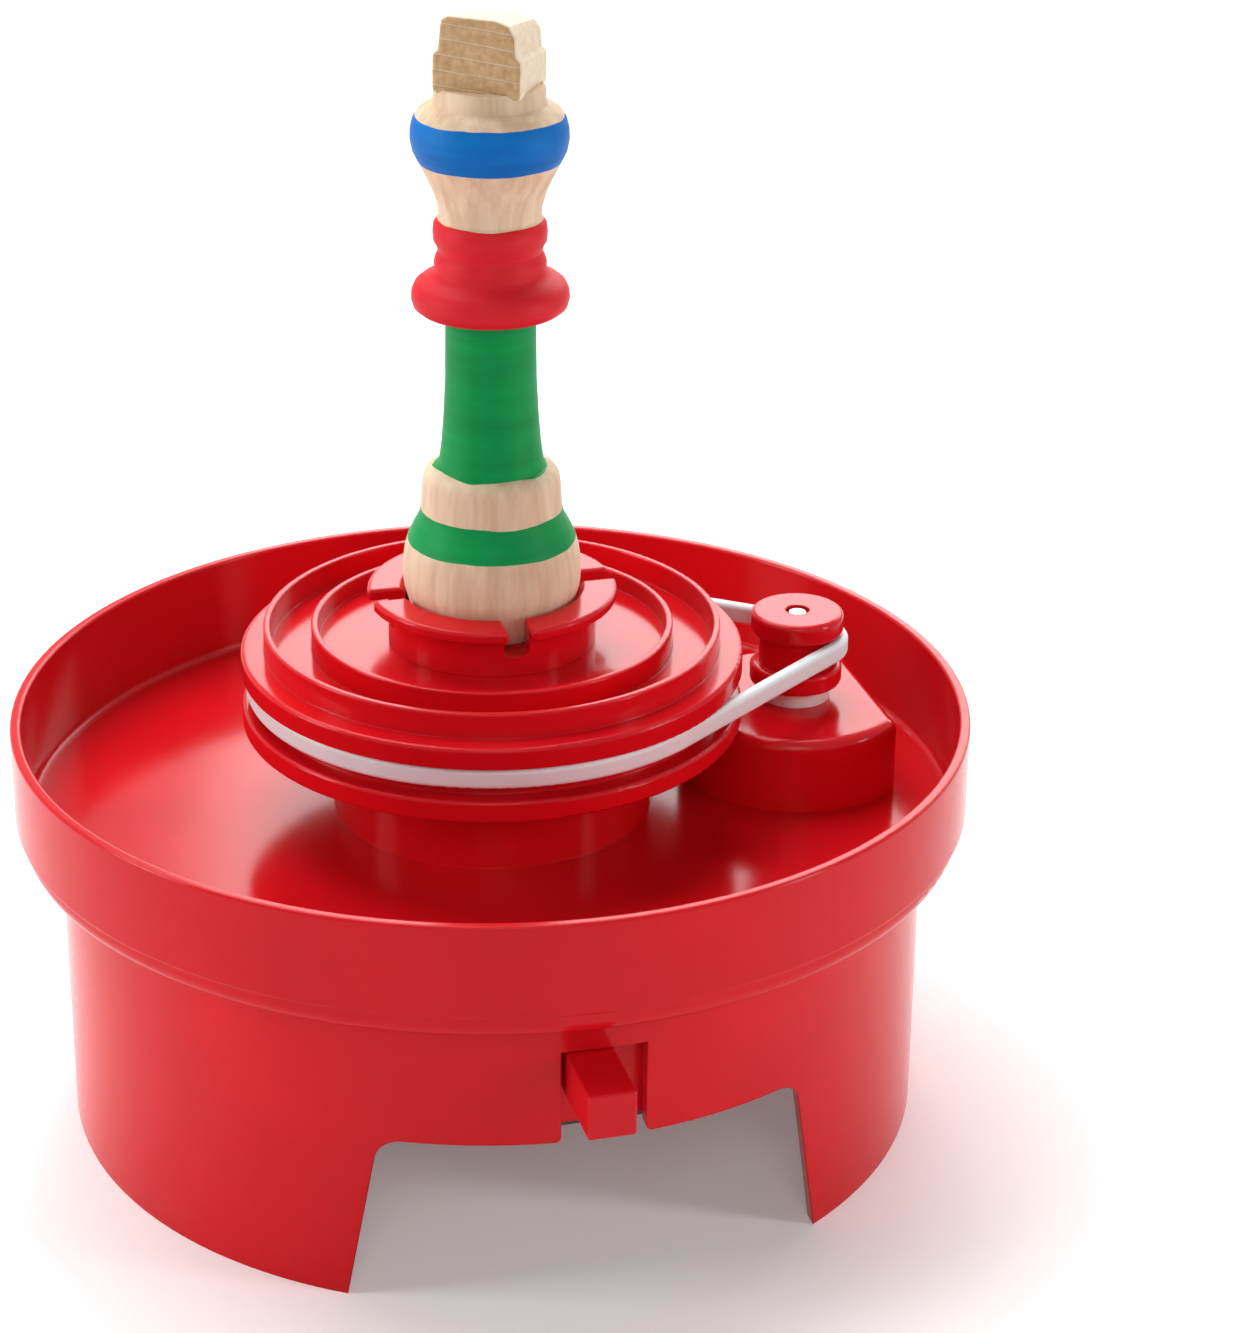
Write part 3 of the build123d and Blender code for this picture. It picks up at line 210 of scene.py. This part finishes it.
class Nodes:
    """Shorthand for building one node material. Distances are in m, noise scales per m."""

    def __init__(self, name):
        self.material = bpy.data.materials.new(name)
        self.material.use_nodes = True
        self.tree = self.material.node_tree
        self.tree.nodes.clear()
        output = self.add("ShaderNodeOutputMaterial")
        self.shader = self.add("ShaderNodeBsdfPrincipled")
        self.link(self.shader.outputs["BSDF"], output.inputs["Surface"])

    def add(self, kind, **settings):
        node = self.tree.nodes.new(kind)
        for key, value in settings.items():
            setattr(node, key, value)
        return node

    def link(self, source, target):
        self.tree.links.new(source, target)

    def set(self, **values):
        """Set the shader's own sockets: an underscore stands for a space."""
        for key, value in values.items():
            self.shader.inputs[key.replace("_", " ")].default_value = value

    def drive(self, socket, source):
        self.link(source, self.shader.inputs[socket])

    def place(self):
        return self.add("ShaderNodeTexCoord").outputs["Object"]

    def stretched(self, scale):
        mapping = self.add("ShaderNodeMapping")
        mapping.inputs["Scale"].default_value = scale
        self.link(self.place(), mapping.inputs["Vector"])
        return mapping.outputs["Vector"]

    def noise(self, scale, detail=3.0, vector=None, roughness=0.5):
        node = self.add("ShaderNodeTexNoise")
        node.inputs["Scale"].default_value = scale
        node.inputs["Detail"].default_value = detail
        node.inputs["Roughness"].default_value = roughness
        self.link(vector if vector else self.place(), node.inputs["Vector"])
        return node.outputs["Fac"]

    def span(self, value, low, high, from_low=0.0, from_high=1.0):
        node = self.add("ShaderNodeMapRange")
        node.inputs["From Min"].default_value = from_low
        node.inputs["From Max"].default_value = from_high
        node.inputs["To Min"].default_value = low
        node.inputs["To Max"].default_value = high
        self.link(value, node.inputs["Value"])
        return node.outputs["Result"]

    def math(self, operation, a, b=0.0):
        node = self.add("ShaderNodeMath", operation=operation)
        for socket, value in zip(node.inputs, (a, b)):
            if isinstance(value, (int, float)):
                socket.default_value = value
            else:
                self.link(value, socket)
        return node.outputs["Value"]

    def mix(self, factor, a, b, blend="MIX"):
        node = self.add("ShaderNodeMix", data_type="RGBA", blend_type=blend)
        factor_socket, a_socket, b_socket = node.inputs["Factor"], node.inputs[6], node.inputs[7]
        for socket, value in ((factor_socket, factor), (a_socket, a), (b_socket, b)):
            if isinstance(value, (tuple, list, int, float)):
                socket.default_value = value
            else:
                self.link(value, socket)
        return node.outputs[2]

    def bump(self, height, distance, strength=1.0, normal=None):
        node = self.add("ShaderNodeBump")
        node.inputs["Strength"].default_value = strength
        node.inputs["Distance"].default_value = distance
        self.link(height, node.inputs["Height"])
        if normal:
            self.link(normal, node.inputs["Normal"])
        return node.outputs["Normal"]

    def soft_edges(self, radius):
        node = self.add("ShaderNodeBevel", samples=4)
        node.inputs["Radius"].default_value = radius
        return node.outputs["Normal"]


def gloss_plastic(name, colour, roughness=0.15):
    """Moulded plastic with a soft sheen, faint flow marks and rounded edges."""
    m = Nodes(name)
    flow = m.noise(38.0, 4.0)
    tone = m.span(flow, 0.93, 1.05, 0.3, 0.7)
    m.drive("Base Color", m.mix(1.0, colour, tone, "MULTIPLY"))
    m.drive("Roughness", m.span(flow, roughness - 0.03, roughness + 0.04))
    skin = m.noise(420.0, 2.0)
    m.drive("Normal", m.bump(skin, 0.00002, 0.5, m.soft_edges(0.0004)))
    m.set(IOR=1.5, Specular_IOR_Level=0.16)
    return m.material


def matte_plastic(name, colour, roughness=0.5):
    """Moulded plastic with a fine grain."""
    m = Nodes(name)
    grain = m.noise(900.0, 3.0)
    m.drive("Base Color", m.mix(1.0, colour, m.span(grain, 0.92, 1.06), "MULTIPLY"))
    m.drive("Roughness", m.span(grain, roughness - 0.08, roughness + 0.08))
    m.drive("Normal", m.bump(grain, 0.00004, 0.4, m.soft_edges(0.0003)))
    return m.material


def rubber(name, colour):
    """Soft rubber or wire insulation with a dull surface."""
    m = Nodes(name)
    tone = m.span(m.noise(160.0, 4.0), 0.95, 1.04)
    m.drive("Base Color", m.mix(1.0, colour, tone, "MULTIPLY"))
    m.drive("Normal", m.bump(m.noise(1500.0, 2.0), 0.00003, 0.3))
    m.set(Roughness=0.42, Specular_IOR_Level=0.4)
    return m.material


def metal(name, colour, roughness=0.28):
    """Bright metal with fine marks from drawing or turning."""
    m = Nodes(name)
    fine = m.noise(60.0, 6.0, m.stretched((1.0, 1.0, 30.0)))
    m.drive("Base Color", m.mix(1.0, colour, m.span(fine, 0.86, 1.08), "MULTIPLY"))
    m.drive("Roughness", m.span(fine, roughness - 0.08, roughness + 0.1))
    m.drive("Normal", m.bump(fine, 0.00002, 0.3, m.soft_edges(0.0002)))
    m.set(Metallic=1.0)
    return m.material


def painted_wood(name, foot_z):
    """Turned wood with thin paint in bands, laid on while it was turning."""
    m = Nodes(name)
    fibre = m.noise(420.0, 6.0, m.stretched((1.0, 1.0, 0.1)), 0.6)
    rings = m.noise(30.0, 3.0, m.stretched((1.0, 1.0, 0.25)))
    streak = m.noise(420.0, 4.0, m.stretched((0.12, 0.12, 1.0)))
    wood = m.mix(m.span(fibre, 0.0, 1.0, 0.35, 0.7), (0.66, 0.45, 0.29, 1), (0.84, 0.66, 0.48, 1))
    wood = m.mix(m.span(rings, 0.0, 0.45, 0.4, 0.7), wood, (0.88, 0.74, 0.57, 1))
    paints = {
        "wood": wood,
        "green": m.mix(streak, (0.0, 0.20, 0.045, 1), (0.0, 0.36, 0.085, 1)),
        "red": m.mix(streak, (0.58, 0.010, 0.018, 1), (0.78, 0.02, 0.035, 1)),
        "blue": m.mix(streak, (0.0, 0.085, 0.36, 1), (0.0, 0.20, 0.62, 1)),
    }
    separate = m.add("ShaderNodeSeparateXYZ")
    m.link(m.place(), separate.inputs["Vector"])
    waver = m.span(m.noise(120.0, 2.0), -0.0004, 0.0004)
    height = m.math("ADD", separate.outputs["Z"], waver)
    colour = paints[BANDS[0][0]]
    bare = m.math("LESS_THAN", height, foot_z + BANDS[0][1] * MM)
    for (_, low), (kind, top) in zip(BANDS, BANDS[1:]):
        above = m.math("GREATER_THAN", height, foot_z + low * MM)
        colour = m.mix(above, colour, paints[kind])
        if kind == "wood":
            below = m.math("LESS_THAN", height, foot_z + top * MM)
            bare = m.math("MAXIMUM", bare, m.math("MULTIPLY", above, below))
    m.drive("Roughness", m.span(bare, 0.52, 0.62))
    m.drive("Base Color", colour)
    relief = m.math("ADD", fibre, m.math("MULTIPLY", streak, 0.6))
    m.drive("Normal", m.bump(relief, 0.00012, 0.6))
    m.set(Specular_IOR_Level=0.15)
    return m.material


def sawn_wood(name):
    """Bare block: a darker end-grain face with pale saw lines, the other faces smooth and pale."""
    m = Nodes(name)
    turn = m.add("ShaderNodeVectorRotate", rotation_type="Z_AXIS")
    turn.inputs["Angle"].default_value = -BLOCK_TURN
    m.link(m.place(), turn.inputs["Vector"])
    separate = m.add("ShaderNodeSeparateXYZ")
    m.link(turn.outputs["Vector"], separate.inputs["Vector"])
    face = m.math("LESS_THAN", separate.outputs["Y"], (SAW_FACE - BLOCK_DEPTH / 2) * MM)
    grain = m.noise(900.0, 6.0, None, 0.65)
    aslant = m.math("MULTIPLY", separate.outputs["X"], SAW_SLOPE)
    height = m.math("ADD", separate.outputs["Z"], aslant)
    waver = m.math("MULTIPLY", m.noise(150.0, 2.0), SAW_WAVER)
    wave = m.math("SINE", m.math("MULTIPLY", m.math("ADD", height, waver), SAW_WAVE))
    line = m.span(wave, 0.0, 1.0, 0.9, 1.0)
    fleck = m.span(grain, 0.0, 1.0, 0.3, 0.7)
    end_grain = m.mix(fleck, (0.47, 0.27, 0.12, 1), (0.66, 0.44, 0.24, 1))
    cut = m.mix(m.math("MULTIPLY", line, 0.6), end_grain, (0.86, 0.70, 0.50, 1))
    smooth = m.mix(fleck, (0.78, 0.60, 0.42, 1), (0.90, 0.76, 0.58, 1))
    m.drive("Base Color", m.mix(face, smooth, cut))
    saw_marks = m.math("MULTIPLY", m.math("MULTIPLY", line, face), 2.0)
    relief = m.math("SUBTRACT", grain, saw_marks)
    m.drive("Normal", m.bump(relief, 0.00015, 0.6))
    m.set(Roughness=0.6, Specular_IOR_Level=0.25)
    return m.material


def backdrop_material():
    """White floor that keeps its shadow, lifted only where it is seen, directly or mirrored."""
    m = Nodes("floor_white")
    m.set(Base_Color=FLOOR_WHITE, Roughness=0.9, Specular_IOR_Level=0.0)
    m.set(Emission_Color=PURE_WHITE)
    m.drive("Emission Strength", m.math("MULTIPLY", seen_ray(m.tree), FLOOR_LIFT))
    return m.material


def set_world():
    """White where it is seen, and a weak even light on everything else."""
    world = bpy.data.worlds.new("studio")
    world.use_nodes = True
    tree = world.node_tree
    strength = tree.nodes.new("ShaderNodeMapRange")
    strength.inputs["To Min"].default_value = WORLD_LIGHT
    strength.inputs["To Max"].default_value = 1.0
    tree.links.new(seen_ray(tree), strength.inputs["Value"])
    background = tree.nodes["Background"]
    background.inputs["Color"].default_value = PURE_WHITE
    tree.links.new(strength.outputs["Result"], background.inputs["Strength"])
    bpy.context.scene.world = world


def add_floor():
    half = FLOOR_HALF
    mesh = bpy.data.meshes.new("floor")
    corners = [(-half, -half, 0), (half, -half, 0), (half, half, 0), (-half, half, 0)]
    mesh.from_pydata(corners, [], [(0, 1, 2, 3)])
    floor = link_object("floor", mesh)
    mesh.materials.append(backdrop_material())


def add_softbox(name, position, target, width, height, power):
    data = bpy.data.lights.new(name, "AREA")
    data.shape = "RECTANGLE"
    data.size = width
    data.size_y = height
    data.energy = power
    lamp = link_object(name, data)
    lamp.matrix_world = aim(Vector(position), Vector(target))


def dress(material, *names):
    """Give CAD nodes their material."""
    for name in names:
        node = nodes[name]
        node.data.materials.clear()
        node.data.materials.append(material)


foot_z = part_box("wooden_figure")[0].z
red = gloss_plastic("red_plastic", (0.66, 0.006, 0.012, 1))
pale_plastic = matte_plastic("pale_plastic", (0.62, 0.60, 0.56, 1))
dark_plastic = matte_plastic("dark_plastic", (0.02, 0.019, 0.019, 1))
white_plastic = matte_plastic("white_plastic", (0.82, 0.81, 0.79, 1), 0.35)
white_rubber = rubber("white_rubber", (0.78, 0.84, 0.86, 1))
red_wire = rubber("red_wire", (0.5, 0.02, 0.02, 1))
black_wire = rubber("black_wire", (0.02, 0.02, 0.02, 1))
steel = metal("bright_steel", (0.62, 0.61, 0.60, 1))
brass = metal("brass", (0.72, 0.48, 0.2, 1))
copper = metal("copper", (0.70, 0.28, 0.13, 1))
dark_iron = metal("dark_iron", (0.16, 0.16, 0.17, 1), 0.45)
jacket = gloss_plastic("cell_jacket", (0.03, 0.03, 0.035, 1), 0.3)

dress(red, "basin", "base_skirt", "motor_cover", "turntable_wheel", "figure_collar",
      "motor_pulley", "switch_slider")
dress(pale_plastic, "motor_cradle", "battery_box", "battery_door", "motor_end_cap")
dress(dark_plastic, "switch_bracket")
dress(white_plastic, "shaft_bearing")
dress(white_rubber, "drive_belt")
dress(steel, "spindle", "thrust_washer", "retaining_washer", "retaining_screw", "motor_can",
      "motor_shaft", "cradle_screws", "battery_contacts", "contact_bridge", "contact_springs",
      "door_screws", "box_screws", "bracket_screws", "skirt_screws", "collar_screws")
dress(brass, "hub_bush", "motor_commutator", "motor_brushes", "motor_terminals",
      "switch_leaves", "sliding_contact")
dress(copper, "motor_windings")
dress(dark_iron, "motor_magnets", "motor_armature")
dress(jacket, "battery_left", "battery_right")
dress(red_wire, "switch_lead", "motor_lead")
dress(black_wire, "return_lead")
wood = painted_wood("painted_wood", foot_z)
dress(wood, "wooden_figure")
figure = turned_figure(wood, foot_z)
block = sawn_block(sawn_wood("sawn_wood"), foot_z)
for piece in (figure, block):
    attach(piece, "figure")
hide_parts("wooden_figure")

add_camera()
for softbox in SOFTBOXES:
    add_softbox(*softbox)
add_floor()
set_world()
bpy.context.scene.view_settings.view_transform = "Standard"
